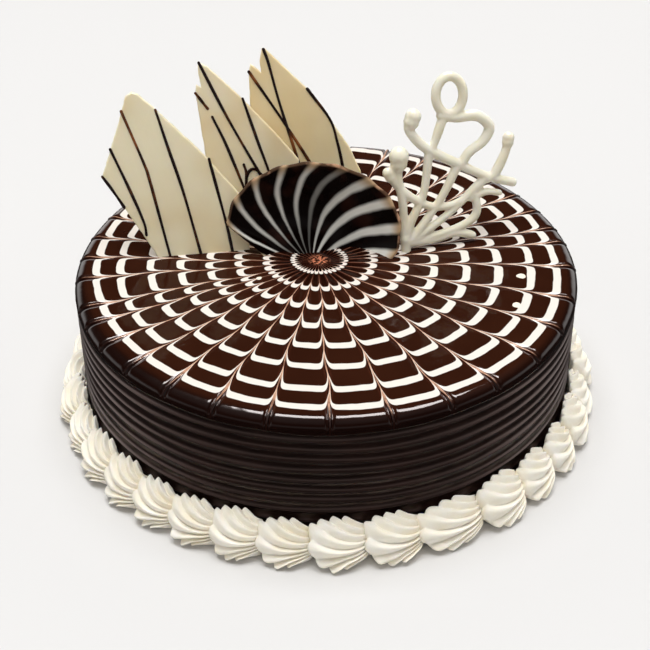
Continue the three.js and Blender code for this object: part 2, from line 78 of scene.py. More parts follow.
# The web: lines dragged towards one point, in degrees round it, through rings of white
WEB_CENTRE = np.array([-3.37, 0.30])
DRAG_LINES = [
    7.7, 14.0, 22.5, 31.0, 40.0, 50.0, 60.0, 71.0, 82.0, 93.0, 104.0, 115.0,
    126.0, 137.0, 147.0, 157.0, 167.0, 176.5, 185.8, 198.0, 204.9, 213.9, 224.1, 235.8,
    247.7, 259.6, 272.3, 285.0, 297.7, 309.0, 321.8, 333.2, 344.6, 357.5,
]
RING_RADII = [97.9, 87.4, 74.1, 61.1, 48.1, 35.6, 22.9, 11.0]
RING_WIDTH = 3.3
OUTER_RING_CENTRE = np.array([-0.5, 0.0])
INNER_RING_CENTRE = np.array([-3.0, 1.4])
WEB_LEAN = 0.87
DRAG_PULL = 10.0
DRAG_PULL_CHANGE = 4.0
DRAG_REACH = 0.8
DRAG_SQUARENESS = 1.2
WIDE_LANE = 6.5
# Distances from the rings' middle between which one look of the web gives way to the next
WEB_MIDDLE = (10.0, 30.0)
STREAK_STARTS = (89.0, 93.0)
STREAK_NARROWS = (91.0, 104.0)
STREAK_ENDS = (101.5, 104.5)
# Over these distances the glaze's colour darkens towards the rounded rim: painted shade
RIM_PAINTED_SHADE = (101.0, 105.5)
RIM_DULLS = (103.5, 105.5)
# The nick of each drag line: a small ridge with a groove on both sides of it
NICK_RIDGE_HEIGHT = 0.35
NICK_RIDGE_WIDTH = 0.35
NICK_GROOVE_DEPTH = 0.75
NICK_GROOVE_WIDTH = 0.5
NICK_GROOVE_OFFSET = 1.0
# Small blobs of cream that fell on the glaze: across, towards the back, and radius
BLOBS = [(-28.1, -11.4, 1.1), (81.5, -11.9, 1.8), (77.3, -32.9, 1.7)]
# The glaze's columns beside each drag line: how far off, measured at the rim, up to a share of the lane
COLUMN_OFFSETS = [0.0, 0.2, 0.4, 0.6, 0.8, 1.0, 1.25, 1.6, 2.1, 3.0, 4.2, 6.0]
COLUMNS_WITHIN = 0.46

# The cream border
BORDER_INNER_RADIUS = 106.5
BORDER_RADIUS = 112.0
SHELL_HALF_LENGTH = 10.3
SHELL_HEIGHT = 19.0
SHELL_LOW_SHARE = 0.35
SHELL_REACH = 11.6
SHELL_SQUARENESS = 2.3
SHELL_TAIL = 0.45
SHELL_BULGE_AT = -0.25
SHELL_BULGE_SPAN = 1.26
SHELL_GIRTH = 11.0
MEAN_SHELL_SIZE = 0.98
SHELL_UNEVENNESS = 0.05
SHELL_RIPPLE_LENGTH = 7.0
SHELL_RIPPLE_HEIGHT = 0.2
FIRST_SHELL_SEED = 100
SHELL_ROOT_DISTANCE = 14.0

# The ridges on each shell: they start from one point past the tail, dip and fan over the head
RIDGES = 8
LINES_PER_RIDGE = 14
LOWEST_RIDGE_LINE = -18.2
RIDGE_SPACING = 5.2
RIDGE_CREST = 0.85
RIDGE_VALLEY = 1.8
RIDGE_ROUNDNESS = 0.35
RIDGE_SIZES = (0.8, 1.2)
RIDGE_STEPS = 24
RIDGE_STEP_GROWTH = 1.15
CAP_STEPS = 4
CAP_LENGTH = 1.3
CAP_DEPTH = 0.45
RIDGES_MEET_AT = 2.2
TAIL_END = 0.8
FOOT_SHARE = 0.3
FOOT_REACH_SHARE = 0.75
FAN_OUT_AT_TAIL = 0.14
FAN_OUT_LENGTH = 21.5
RIDGE_DIP = 0.9
RIDGE_DIP_AT = 12.5
RIDGE_LIFT = 0.023
LOW_RIDGE_SPREAD = 0.07
LEAST_SPREAD = 0.8
# The ridges at mid height reach furthest over the joint, and the others start further back
HEAD_END = 23.4
HEAD_MIDDLE_LINE = 2.6
HEAD_FLAT_SPAN = 3.5
HEAD_SLANT = 0.9
RIDGE_TOOTH = 1.1
# Towards the head's end the upper ridges flatten by this much, over this share of their length
FLATTENING = 0.55
FLATTENING_SPAN = 0.3
UPPER_RIDGES = (-0.2, 0.5)
# Where the shells of the seen side meet, in degrees, and how many more stand behind
SEEN_JOINTS = [218.2, 227.6, 237.0, 246.8, 256.2, 266.6, 277.6, 288.8, 302.8, 314.1, 324.8, 334.0, 344.6]
UNSEEN_SHELLS = 23

# Where each decoration stands: X and Y, its turn about Z and how far it leans back, in degrees
LEFT_SHARD_PLACE = (-71.9, 5.5, 7.4, 16)
MIDDLE_SHARD_PLACE = (-50, 19, 6, 16)
RIGHT_SHARD_PLACE = (-26, 29, 4, 16)
FAN_PLACE = (-5.9, 3.6, -4, 13)
FILIGREE_PLACE = (34.3, 9, 12, 14)

# The shards: outlines from the foot up the left side, over the tip and down the right side
SHARD_THICKNESS = 3.0
SHARD_ROUNDING = 0.6
SHARD_ROUNDING_ROWS = 4
BROKEN_EDGE_STEP = 1.6
BROKEN_EDGE_WOBBLE = 0.12
SHARD_SUNK = 6
LEFT_SHARD = [
    (0.4, -SHARD_SUNK), (0, 0), (-4.2, 8), (-12.2, 22.6), (-20, 36.8), (-15.4, 48), (-9.4, 63.4),
    (-7.4, 69.4), (-4.8, 71), (-2.3, 70), (4.8, 63), (20.8, 45.4), (37.2, 24.2), (39.5, 9),
    (39.5, -SHARD_SUNK),
]
MIDDLE_SHARD = [
    (1.8, -SHARD_SUNK), (0.2, 36.5), (-1.1, 51.7), (-2.2, 64.3), (-1.7, 67.4), (0.4, 66.4), (-0.5, 72),
    (-0.5, 75.6), (0.6, 76.6), (3.6, 74.8), (17.5, 60.4), (30.7, 45), (40.1, 33), (38, 12), (36, -SHARD_SUNK),
]
RIGHT_SHARD = [
    (-5, -SHARD_SUNK), (-4.7, 54.8), (-4.6, 68.3), (-3.8, 71.6), (-1.6, 70), (0.6, 67.7), (0.2, 73),
    (1.4, 78.2), (2.6, 78), (4.9, 75.7), (20.1, 60.1), (29.3, 47), (37.3, 34.7), (42.4, 22.9),
    (43, -SHARD_SUNK),
]
# The lines drizzled over each shard: across and up from its foot
DRIZZLE_RADIUS = 0.62
DRIZZLE_FLATNESS = 0.8
DRIZZLE_SIDES = 10
LEFT_DRIZZLE = [
    [(-9.6, 63.6), (-2.3, 41.1), (-0.6, 34), (2.2, 17.8), (5.3, -0.3)],
    [(4.4, 63.2), (8.5, 46.1), (13.1, 27.4), (18.4, -0.1)],
    [(-15.6, 48.1), (-9.1, 30), (-4.6, 15.8), (-4, 10.1)],
    [(24.9, 41), (30.1, 13), (32, 0)],
    [(-20, 36.8), (-16.2, 30.4), (-12.2, 23)],
]
MIDDLE_DRIZZLE = [
    [(0, 76.8), (10.7, 52.6), (23.4, 26.9), (29, 15)],
    [(17.4, 60.8), (22.7, 42.3), (26.7, 29.1), (29.6, 17)],
    [(-2.3, 64.2), (2.4, 57.4)],
    [(4.1, 53.8), (9.2, 41.5), (15.9, 21.6), (18.6, 13)],
    [(16.2, 32.4), (17.1, 28.6), (16.6, 22.4), (16.4, 19)],
    [(16.8, 25.6), (18.4, 29.4), (21, 30), (24, 27)],
]
RIGHT_DRIZZLE = [
    [(-4.6, 68.6), (10, 45.4), (19.8, 28.7), (28, 14)],
    [(2.0, 77.8), (3.9, 71.8), (8, 54.3), (15, 28.9), (18, 16)],
    [(20, 60.3), (29.3, 46.8), (32.2, 37.1), (34.3, 26), (35.4, 14)],
]

# The fan: a hollow oval sheet that spreads from its root, with a straight edge at its left foot
FAN_HALF_SIZE = np.array([37.2, 29.7])
FAN_CENTRE = np.array([0.5, 12.3])
FAN_SUNK = 4.0
FAN_DEPTH = 9.0
FAN_LEFT_DEPTH = 4.0
FAN_DEEP_UNTIL = 1.6
FAN_SHALLOW_FROM = 2.7
FAN_THICKNESS = 2.0
FAN_HOLLOW_CURVE = 0.85
FAN_ROOT = 0.04
FAN_RIM_FROM = 0.97
FAN_RIM_THINNING = 0.95
FLUTE_HEIGHT = 0.25
SCALLOP_SIZE = 0.35
FAN_ARC_STEPS = 120
FAN_REACH_STEPS = 36
FAN_LEFT_CORNER = np.array([-36.3, 13.5])
FAN_LEFT_FOOT = np.array([-23.1, 1.9])
STRIPE_SPACING = 0.277
FIRST_STRIPE = 0.165
FAINT_STRIPE = 1.27

# The filigree: an oval loop, and strokes that each have a radius and points across and up from the root
LOOP_CENTRE = np.array([21.4, 65.2])
LOOP_HALF_SIZE = np.array([5.9, 7.9])
LOOP_RADIUS = 2.1
LOOP_STEPS = 40
STROKES = [
    (1.9, [(18.4, 56.2), (14.5, 46.2), (12.6, 42.6)]),
    (2.2, [(17.5, 57), (24, 55.6), (33, 55.4), (38.4, 50.2), (35.8, 44.4), (29.5, 40.1), (25.8, 35.4)]),
    (2.0, [(5.3, 58.1), (3.2, 53.6), (6.4, 48), (11.8, 43), (23.7, 35.8), (36.6, 28.8), (48.4, 24.6)]),
    (2.0, [(46.9, 44.6), (45.4, 38.3), (40.6, 29.4), (37, 27.4)]),
    (1.8, [(-1.1, 42.5), (-2, 32), (-0.4, 22), (-0.2, 3.4)]),
    (1.7, [(-6.6, 35.6), (-2.7, 29.4), (3.7, 23), (12, 18.2), (21, 17.7), (29.1, 21.3), (37, 28.2)]),
    (1.8, [(0.6, 3.4), (2.6, 11.6), (8.8, 24.1), (11.8, 41.5)]),
    (1.8, [(1, 3.4), (4.4, 6), (16.6, 21.4), (24.2, 35)]),
    (1.7, [(1.2, 3.2), (6, 5.2), (20.9, 14.9), (31.4, 24), (36.6, 28.4)]),
    (1.5, [(29.6, 19.6), (36.5, 21.8), (42.4, 20.6)]),
    (1.7, [(31.6, 21.4), (32, 12.6), (25.3, 7.8), (11.5, 4.6), (1.4, 3)]),
    (1.7, [(1.6, 2.9), (14.3, 3.2), (21.8, 5), (28, 3.8), (30, 2.9)]),
    (2.2, [(0.2, -5), (0.2, 5)]),
]
# The knobs: across, up and radius, with a smaller one below each large one that makes it longer
KNOBS = [
    (5.5, 57.9, 3.5), (4.7, 55.8, 3.4), (-1.2, 41.6, 4.3), (-1.4, 38.6, 3.7),
    (46.9, 44.4, 2.6), (46.6, 42.4, 2.6), (-6.2, 35, 2.5), (-5.4, 33, 2.3),
]
STROKE_SIDES = 14
KNOB_ROWS = 12
KNOB_SIDES = 18
FILIGREE_VOXEL = 0.5

# The camera: the photo's own, 36 degrees above the floor
CAMERA_PLACE = Vector((-0.679, -481.776, 382.164))
CAMERA_ELEVATION = 36.029
CAMERA_ROLL = -0.606
CAMERA_LENS = 75.08
CAMERA_SENSOR = 36.0

# The light: an even sky, and how bright it is where the camera sees it as the backdrop
SKY_STRENGTH = 0.37
BACKDROP_STRENGTH = 0.85
SKY_COLOUR = (1.0, 0.985, 0.97, 1.0)
# What shiny surfaces mirror: a glow overhead and a low band, dimmer in front than at the sides.
# Heights go from 0 at the horizon to 1 straight up, and the front to the back from -1 to 1.
OVERHEAD_HEIGHTS = (0.66, 0.95)
OVERHEAD_GLOWS = (0.03, 0.55)
BAND_STARTS = (-0.15, 0.15)
BAND_ENDS = (0.3, 0.46)
FRONT_TO_SIDES = (-0.8, 0.3)
BAND_GLOWS = (0.85, 3.4)
# The lamps, in metres and watts
OVERHEAD_LAMP = {"place": (0.0, 0.12, 3.0), "size": (2.2, 1.9), "power": 98.0, "colour": (1.0, 1.0, 1.0)}
BACK_SOFTBOX = {"place": (0.083, 0.5, 1.22), "size": (0.66, 0.4), "power": 50.0, "colour": (1.0, 0.94, 0.92)}
LAMP_TARGET = Vector((0, 0, 0.06))
FLOOR_HALF_SIZE = 1300.0
FLOOR_DEPTH = 0.05


# ---- Small helpers ----

def srgb(red, green, blue):
    """A colour given as 0 to 255 on screen, as the linear values that shaders use."""
    shares = [value / 255 for value in (red, green, blue)]
    linear = [s / 12.92 if s <= 0.04045 else ((s + 0.055) / 1.055) ** 2.4 for s in shares]
    return (*linear, 1.0)


def lerp(low, high, share):
    return low + (high - low) * share


def heading(angle):
    """The flat unit vector that points at an angle."""
    return np.stack([np.cos(angle), np.sin(angle)], axis=-1)


def smoothstep(value, low, high):
    share = np.clip((value - low) / (high - low), 0, 1)
    return share * share * (3 - 2 * share)


def waves(angle, parts):
    """Waves round a circle added up, each given by its height, how many go round and its start."""
    return sum(height * np.sin(count * angle + start) for height, count, start in parts)


def ripple(points, wavelength, seed):
    """A smooth uneven field of about -1 to 1 with bumps of about one size."""
    random = np.random.default_rng(seed)
    total = np.zeros(points.shape[:-1])
    count = 9
    for _ in range(count):
        direction = random.normal(size=3)
        direction /= np.linalg.norm(direction)
        length = wavelength * random.uniform(0.75, 1.4)
        total += np.sin(points @ direction * 2 * math.pi / length + random.uniform(0, 2 * math.pi))
    return total / math.sqrt(count)


def grid_quads(rows, columns, closed=True, flip=False):
    """The quads of a grid of points; closed joins the last column to the first."""
    spans = columns if closed else columns - 1
    row, column = np.meshgrid(np.arange(rows - 1), np.arange(spans), indexing="ij")
    beside = (column + 1) % columns
    here, right = row * columns + column, row * columns + beside
    corners = [here, right, right + columns, here + columns]
    if flip:
        corners = [here, here + columns, right + columns, right]
    return np.stack(corners, axis=-1).reshape(-1, 4).tolist()


def capped_grid(rows, columns):
    """The faces of a grid joined round on itself, with one flat face at each end."""
    faces = grid_quads(rows, columns)
    faces.append(list(range(columns))[::-1])
    faces.append([(rows - 1) * columns + column for column in range(columns)])
    return faces


def grid_border(rows, columns):
    """Each two neighbours in turn round the border of a grid, from its first row on."""
    border = list(range(columns))
    border += [row * columns + columns - 1 for row in range(1, rows)]
    border += [(rows - 1) * columns + column for column in range(columns - 2, -1, -1)]
    border += [row * columns for row in range(rows - 2, 0, -1)]
    return zip(border, border[1:] + border[:1])


def new_mesh(name, points, faces):
    mesh = bpy.data.meshes.new(name)
    mesh.from_pydata((np.asarray(points) * MM).tolist(), [], faces)
    mesh.update()
    return mesh


def store_field(mesh, name, domain, values):
    """Keeps three numbers for each point or corner of a mesh, for its material to read."""
    field = mesh.attributes.new(name, "FLOAT_VECTOR", domain)
    field.data.foreach_set("vector", np.concatenate(values).astype(np.float32).ravel())


def add_object(name, data):
    item = bpy.data.objects.new(name, data)
    bpy.context.scene.collection.objects.link(item)
    return item


def add_piece(name, mesh, materials, node):
    """Puts a finished mesh in the scene in place of a CAD node."""
    mesh.shade_smooth()
    for material in materials:
        mesh.materials.append(material)
    piece = add_object(name, mesh)
    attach(piece, "root")
    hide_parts(node)
    return piece


def placed(points, place):
    """Where an upright decoration's points stand: X across it, Y up it and Z towards the front."""
    x, y, turn, lean = place
    turned = Matrix.Rotation(math.radians(turn), 4, "Z")
    leaning = Matrix.Rotation(math.radians(90 - lean), 4, "X")
    matrix = np.array(Matrix.Translation((x, y, CAKE_HEIGHT)) @ turned @ leaning)
    return np.asarray(points) @ matrix[:3, :3].T + matrix[:3, 3]


def smooth_line(points, spacing):
    """Points along a smooth curve through the given ones, about evenly spaced."""
    given = [np.array(point, float) for point in points]
    given = [2 * given[0] - given[1], *given, 2 * given[-1] - given[-2]]
    result = []
    for before, start, end, after in zip(given, given[1:], given[2:], given[3:]):
        steps = max(2, round(np.linalg.norm(end - start) / spacing))
        for t in np.arange(steps) / steps:
            result.append(0.5 * (
                2 * start + (end - before) * t
                + (2 * before - 5 * start + 4 * end - after) * t ** 2
                + (3 * start - before - 3 * end + after) * t ** 3
            ))
    return np.array(result + [given[-2]])


def round_ends(line, radii, along):
    """The same line with a few shrinking steps more at both ends."""
    caps = np.radians(CAP_ANGLES)
    out, shrunk = np.sin(caps)[:, None], np.cos(caps)
    before = (line[0] - along[0] * radii[0] * out)[::-1]
    line = np.concatenate([before, line, line[-1] + along[-1] * radii[-1] * out])
    radii = np.concatenate([radii[0] * shrunk[::-1], radii, radii[-1] * shrunk])
    return line, radii, np.pad(along, ((len(caps), len(caps)), (0, 0)), mode="edge")


def tube(line, radii, sides, flatness=1.0, closed=False):
    """A round stroke along a line in its plane, with round ends; flatness squeezes it front to back."""
    if closed:
        along = np.roll(line, -1, axis=0) - np.roll(line, 1, axis=0)
    else:
        along = np.gradient(line, axis=0)
    along /= np.linalg.norm(along, axis=1)[:, None]
    if not closed:
        line, radii, along = round_ends(line, radii, along)
    angles = np.arange(sides) / sides * 2 * math.pi
    sideways = np.stack([-along[:, 1], along[:, 0]], axis=1)
    flat = line[:, None, :] + sideways[:, None, :] * (radii[:, None] * np.cos(angles))[:, :, None]
    depth = radii[:, None] * np.sin(angles) * flatness
    points = np.concatenate([flat, depth[:, :, None]], axis=2).reshape(-1, 3)
    if not closed:
        return points, capped_grid(len(line), sides)
    joined_round = np.array(grid_quads(len(line) + 1, sides)) % len(points)
    return points, joined_round.tolist()


def joined(parts):
    """Several (points, faces) as one."""
    points, faces = [], []
    for part_points, part_faces in parts:
        start = sum(len(done) for done in points)
        points.append(np.asarray(part_points))
        faces.extend([[corner + start for corner in face] for face in part_faces])
    return np.concatenate(points), faces


# ---- Materials ----

class Shader:
    """A new material, or the sky, with short calls for the nodes used here."""

    def __init__(self, name, kind="materials", surface="Principled BSDF"):
        self.owner = getattr(bpy.data, kind).new(name)
        self.owner.use_nodes = True
        self.tree = self.owner.node_tree
        self.surface = self.tree.nodes[surface]

    def feed(self, socket, value):
        """Links a socket to another one, or sets it to a plain value."""
        if isinstance(value, bpy.types.NodeSocket):
            self.tree.links.new(value, socket)
        else:
            socket.default_value = value

    def set(self, **values):
        """Sets the surface's sockets by name, with _ for a space."""
        for name, value in values.items():
            self.feed(self.surface.inputs[name.replace("_", " ")], value)

    def add(self, kind, inputs=(), **settings):
        """Adds a node with its settings and its inputs, by name or number, and gives its outputs."""
        node = self.tree.nodes.new(f"ShaderNode{kind}")
        for name, value in settings.items():
            setattr(node, name, value)
        for name, value in dict(inputs).items():
            self.feed(node.inputs[name], value)
        return node.outputs

    def math(self, operation, *values):
        return self.add("Math", enumerate(values), operation=operation)[0]

    def plus(self, first, second):
        return self.math("ADD", first, second)

    def minus(self, first, second):
        return self.math("SUBTRACT", first, second)

    def times(self, first, second):
        return self.math("MULTIPLY", first, second)

    def apart(self, first, second):
        """How far two values lie from each other."""
        return self.math("ABSOLUTE", self.minus(first, second))

    def largest(self, values):
        result = values[0]
        for value in values[1:]:
            result = self.math("MAXIMUM", result, value)
        return result

    def ramp(self, value, low, high, from_value=0.0, to_value=1.0):
        """A smooth step from from_value at low to to_value at high."""
        limits = {"From Min": low, "From Max": high, "To Min": from_value, "To Max": to_value}
        return self.add("MapRange", {"Value": value, **limits}, interpolation_type="SMOOTHSTEP")["Result"]

    def mix(self, share, first, second):
        """Two colours mixed; they are sockets 6 and 7 of the node, and its output 2."""
        return self.add("Mix", {0: share, 6: first, 7: second}, data_type="RGBA")[2]

    def split(self, vector):
        """The three parts of a vector."""
        return self.add("SeparateXYZ", {0: vector})

    def noise(self, wavelength, detail=2.0, roughness=0.5, stretch=None):
        """Noise in the object's own space with bumps about so many millimetres across."""
        place = self.add("TexCoord")["Object"]
        if stretch:
            place = self.add("Mapping", {"Vector": place, "Scale": stretch})["Vector"]
        scale = 1 / (wavelength * MM)
        inputs = {"Vector": place, "Scale": scale, "Detail": detail, "Roughness": roughness}
        return self.add("TexNoise", inputs)["Fac"]

    def varied(self, low, high, *noise):
        """A value that wanders between low and high."""
        return self.math("MULTIPLY_ADD", self.noise(*noise), high - low, low)

    def patches(self, low, high, *noise):
        """0 where the noise is below low, 1 where it is above high, and a smooth step between."""
        return self.ramp(self.noise(*noise), low, high)

    def attribute(self, name):
        """The three numbers that a mesh keeps under a name."""
        return self.split(self.add("Attribute", attribute_name=name)["Vector"])

    def bump(self, height, depth):
        """Small relief, depth millimetres deep."""
        inputs = {"Strength": 1.0, "Distance": depth * MM, "Height": height}
        self.set(Normal=self.add("Bump", inputs)["Normal"])


def combed_cream_material():
    """Dark chocolate cream, satin where the comb has drawn it smooth."""
    look = Shader("combed_chocolate_cream")
    paler = look.ramp(look.noise(14.0, 3.0, stretch=(1, 1, 3)), 0.35, 0.7)
    look.set(
        Base_Color=look.mix(paler, srgb(20, 8, 6), srgb(31, 15, 11)),
        Roughness=look.varied(0.27, 0.37, 3.0),
        Specular_IOR_Level=0.5,
        Specular_Tint=srgb(255, 222, 212),
    )
    look.bump(look.noise(2.5), 0.01)
    return look.owner


def off_drag_line(look, lane, lane_width):
    """How far a point lies from the nearest drag line, counted longer in narrow lanes."""
    in_lane = look.math("FRACT", lane)
    to_line = look.math("MINIMUM", in_lane, look.minus(1.0, in_lane))
    waver = look.varied(-0.15, 0.15, 7.0, 1.0)
    off_line = look.math("ABSOLUTE", look.plus(look.times(to_line, lane_width), waver))
    finer = look.math("MAXIMUM", look.math("DIVIDE", WIDE_LANE, lane_width), 1.0)
    return look.times(off_line, finer)


def white_rings(look, off_line, radius):
    """1 on the white rings, which each drag line has pulled towards the middle."""
    pull = look.varied(DRAG_PULL - DRAG_PULL_CHANGE, DRAG_PULL + DRAG_PULL_CHANGE, 16.0, 1.0)
    pull = look.times(pull, look.ramp(radius, 6.0, 60.0, 0.25, 1.0))
    reach = look.math("POWER", look.math("DIVIDE", off_line, DRAG_REACH), DRAG_SQUARENESS)
    decay = look.math("EXPONENT", look.times(reach, -1.0))
    uneven_radius = look.plus(radius, look.varied(-0.65, 0.65, 11.0))
    drawn_from = look.math("MULTIPLY_ADD", pull, decay, uneven_radius)
    half = look.varied(RING_WIDTH / 2 - 0.45, RING_WIDTH / 2 + 0.45, 13.0, 1.0)
    half = look.times(half, look.ramp(radius, *WEB_MIDDLE, 0.55, 1.0))
    inside = [look.minus(half, look.apart(drawn_from, ring)) for ring in RING_RADII]
    return look.largest([look.ramp(depth, -0.15, 0.15) for depth in inside])


def glaze_brown(look, off_line, near_middle):
    """The glaze between the rings, with a pale haze and a dark edge along each drag line."""
    brown = look.mix(look.noise(22.0), srgb(38, 15, 7), srgb(54, 26, 14))
    brown = look.mix(near_middle, brown, srgb(16, 4, 2))
    haze = look.ramp(off_line, 0.1, 1.9, 0.5, 0.0)
    brown = look.mix(haze, brown, srgb(88, 44, 30))
    dark_edge = look.ramp(look.apart(off_line, 0.58), 0.1, 0.3, 0.85, 0.0)
    return look.mix(dark_edge, brown, srgb(22, 8, 6))


def drag_streak(look, off_line, radius):
    """How strongly the fine tan line of each drag shows; it is widest near the rim."""
    wedge = look.times(look.ramp(radius, *STREAK_NARROWS, 0.7, 0.1), look.ramp(radius, *STREAK_STARTS))
    width = look.math("MAXIMUM", wedge, 0.2)
    streak = look.ramp(look.minus(off_line, width), -0.08, 0.12, 0.8, 0.0)
    streak = look.times(streak, look.ramp(radius, *STREAK_ENDS, 1.0, 0.0))
    return look.times(streak, look.ramp(look.noise(3.5), 0.3, 0.6, 0.35, 1.0))


def web_glaze_material():
    """Dark mirror glaze with white rings dragged inwards along fine tan lines."""
    look = Shader("feathered_mirror_glaze")
    lane, lane_width, radius = look.attribute("web")
    off_line = off_drag_line(look, lane, lane_width)
    near_middle = look.ramp(radius, *WEB_MIDDLE, 0.8, 0.0)
    white = white_rings(look, off_line, radius)
    tinted = look.ramp(off_line, 0.1, 1.1, 0.6, 0.0)
    cream = look.mix(tinted, srgb(230, 222, 213), srgb(210, 168, 135))
    colour = look.mix(white, glaze_brown(look, off_line, near_middle), cream)
    # Painted shade: the glaze darkens as it rolls over the rim
    colour = look.mix(look.ramp(radius, *RIM_PAINTED_SHADE, 0.0, 0.85), colour, srgb(16, 6, 5))
    tan = look.mix(near_middle, srgb(206, 160, 132), srgb(110, 52, 34))
    colour = look.mix(drag_streak(look, off_line, radius), colour, tan)
    at_middle = look.ramp(radius, 2.0, 5.0, 0.8, 0.0)
    speck = look.times(look.patches(0.45, 0.6, 1.0), at_middle)
    colour = look.mix(speck, colour, srgb(224, 140, 104))
    colour = look.mix(blob_mask(look), colour, srgb(250, 236, 216))
    look.set(
        Base_Color=colour,
        Roughness=look.math("MULTIPLY_ADD", white, 0.12, look.ramp(radius, *RIM_DULLS, 0.07, 0.17)),
        Specular_IOR_Level=0.12,
    )
    look.bump(look.noise(12.0), 0.25)
    return look.owner


def blob_mask(look):
    """1 on the small blobs of cream that lie on the glaze."""
    place = look.add("TexCoord")["Object"]
    uneven = look.varied(-0.7 * MM, 0.7 * MM, 2.5, 1.0)
    spots = []
    for across, back, radius in BLOBS:
        centre = (across * MM, back * MM, CAKE_HEIGHT * MM)
        distance = look.add("VectorMath", {0: place, 1: centre}, operation="DISTANCE")["Value"]
        off_blob = look.plus(distance, uneven)
        spots.append(look.ramp(off_blob, (radius - 0.1) * MM, (radius + 0.15) * MM, 1.0, 0.0))
    return look.largest(spots)


def white_cream_material():
    """Whipped cream: soft, a little translucent, with fine pits."""
    look = Shader("whipped_cream")
    look.set(
        Base_Color=look.mix(look.patches(0.3, 0.75, 9.0), srgb(255, 250, 238), srgb(253, 245, 227)),
        Roughness=0.5,
        Specular_IOR_Level=0.15,
        Subsurface_Weight=0.15,
        Subsurface_Radius=(1.0, 0.75, 0.45),
        Subsurface_Scale=1.0 * MM,
    )
    look.bump(look.noise(0.9, 4.0, 0.6), 0.12)
    return look.owner


def white_chocolate_material(name, pale, deep, patch=34.0):
    """Set white chocolate: waxy, a little translucent and very slightly rippled."""
    look = Shader(name)
    look.set(
        Base_Color=look.mix(look.patches(0.3, 0.72, patch), pale, deep),
        Roughness=look.varied(0.3, 0.42, 6.0),
        Subsurface_Weight=0.3,
        Subsurface_Radius=(1.0, 0.8, 0.4),
        Subsurface_Scale=2.0 * MM,
    )
    look.bump(look.noise(5.0), 0.12)
    return look.owner


def drizzle_material():
    """Dark chocolate, browner where the drizzle ran thin."""
    look = Shader("dark_drizzle")
    look.set(
        Base_Color=look.mix(look.patches(0.52, 0.72, 12.0), srgb(26, 8, 6), srgb(132, 76, 38)),
        Roughness=look.varied(0.22, 0.32, 2.0),
        Specular_IOR_Level=0.15,
    )
    return look.owner


def fan_stripes(look, direction, share):
    """How strongly the stripes show that sweep from the rim to the root, turning as they go."""
    twist = look.ramp(direction, 0.1, 1.5, 0.1, 0.85)
    twist = look.times(twist, look.ramp(direction, 1.9, 2.6, 1.0, 0.6))
    inward = look.minus(1.0, share)
    eased = look.times(inward, look.math("MULTIPLY_ADD", inward, -0.35, 1.0))
    at_rim = look.minus(direction, look.times(twist, eased))
    at_rim = look.plus(at_rim, look.varied(-0.05, 0.05, 18.0))
    count = look.math("DIVIDE", look.minus(at_rim, FIRST_STRIPE), STRIPE_SPACING)
    off_stripe = look.apart(count, look.math("ROUND", count))
    width = look.ramp(at_rim, 0.6, 1.9, 0.2, 0.14)
    stripe = look.ramp(look.minus(width, off_stripe), -0.07, 0.12)
    off_faint = look.apart(at_rim, FAINT_STRIPE)
    strength = look.ramp(off_faint, 0.05, 0.22, 0.35, 1.0)
    strength = look.times(strength, look.ramp(at_rim, 0.8, 1.1, 1.0, 0.72))
    at_root = look.ramp(at_rim, 0.8, 1.6, 0.6, 0.15)
    fade = look.ramp(share, 0.15, 0.7, at_root, 1.0)
    return look.times(look.times(stripe, strength), fade)


def marbled_fan_material():
    """Near-black chocolate with soft white stripes and a thin rim painted with patchy pale highlights."""
    look = Shader("marbled_chocolate")
    direction, share, _ = look.attribute("fan")
    dark = look.mix(look.patches(0.5, 0.75, 11.0), srgb(8, 2, 1), srgb(40, 18, 12))
    pale = look.mix(look.ramp(share, 0.86, 0.98), srgb(252, 251, 242), srgb(206, 176, 138))
    colour = look.mix(fan_stripes(look, direction, share), dark, pale)
    # The pale patches along the rim are painted highlights
    glint_patches = look.ramp(look.noise(7.0), 0.5, 0.62, 0.15, 0.9)
    rim = look.times(look.ramp(share, 0.965, 0.985), glint_patches)
    look.set(
        Base_Color=look.mix(rim, colour, srgb(196, 152, 120)),
        Roughness=look.varied(0.14, 0.24, 5.0),
        Specular_IOR_Level=0.05,
    )
    return look.owner


# ---- Combed side ----

def comb_relief(height, angle):
    """How far the combed surface lies inside the cake's radius."""
    phase = (height - LOWEST_COMB_GROOVE) / COMB_PITCH
    off_crest = np.hypot(phase - np.floor(phase) - 0.5, COMB_CREST_ROUNDING)
    fall = (1 - np.exp(-off_crest / COMB_CREST_WIDTH)) / (1 - math.exp(-0.5 / COMB_CREST_WIDTH))
    unevenness = waves(angle, [(0.08, 5, 0.35 * height), (0.04, 13, -height)])
    return COMB_DEPTH * (1 + unevenness) * fall


def comb_wander(height, angle):
    """How far the comb wandered up or down, less and less towards the foot and the glaze."""
    fade_at_foot = np.clip(height / WANDER_FADE_AT_FOOT, 0, 1)
    fade_at_top = np.clip((COMB_TOP - height) / WANDER_FADE_AT_TOP, 0, 1)
    return waves(angle, COMB_WANDER) * fade_at_foot * fade_at_top


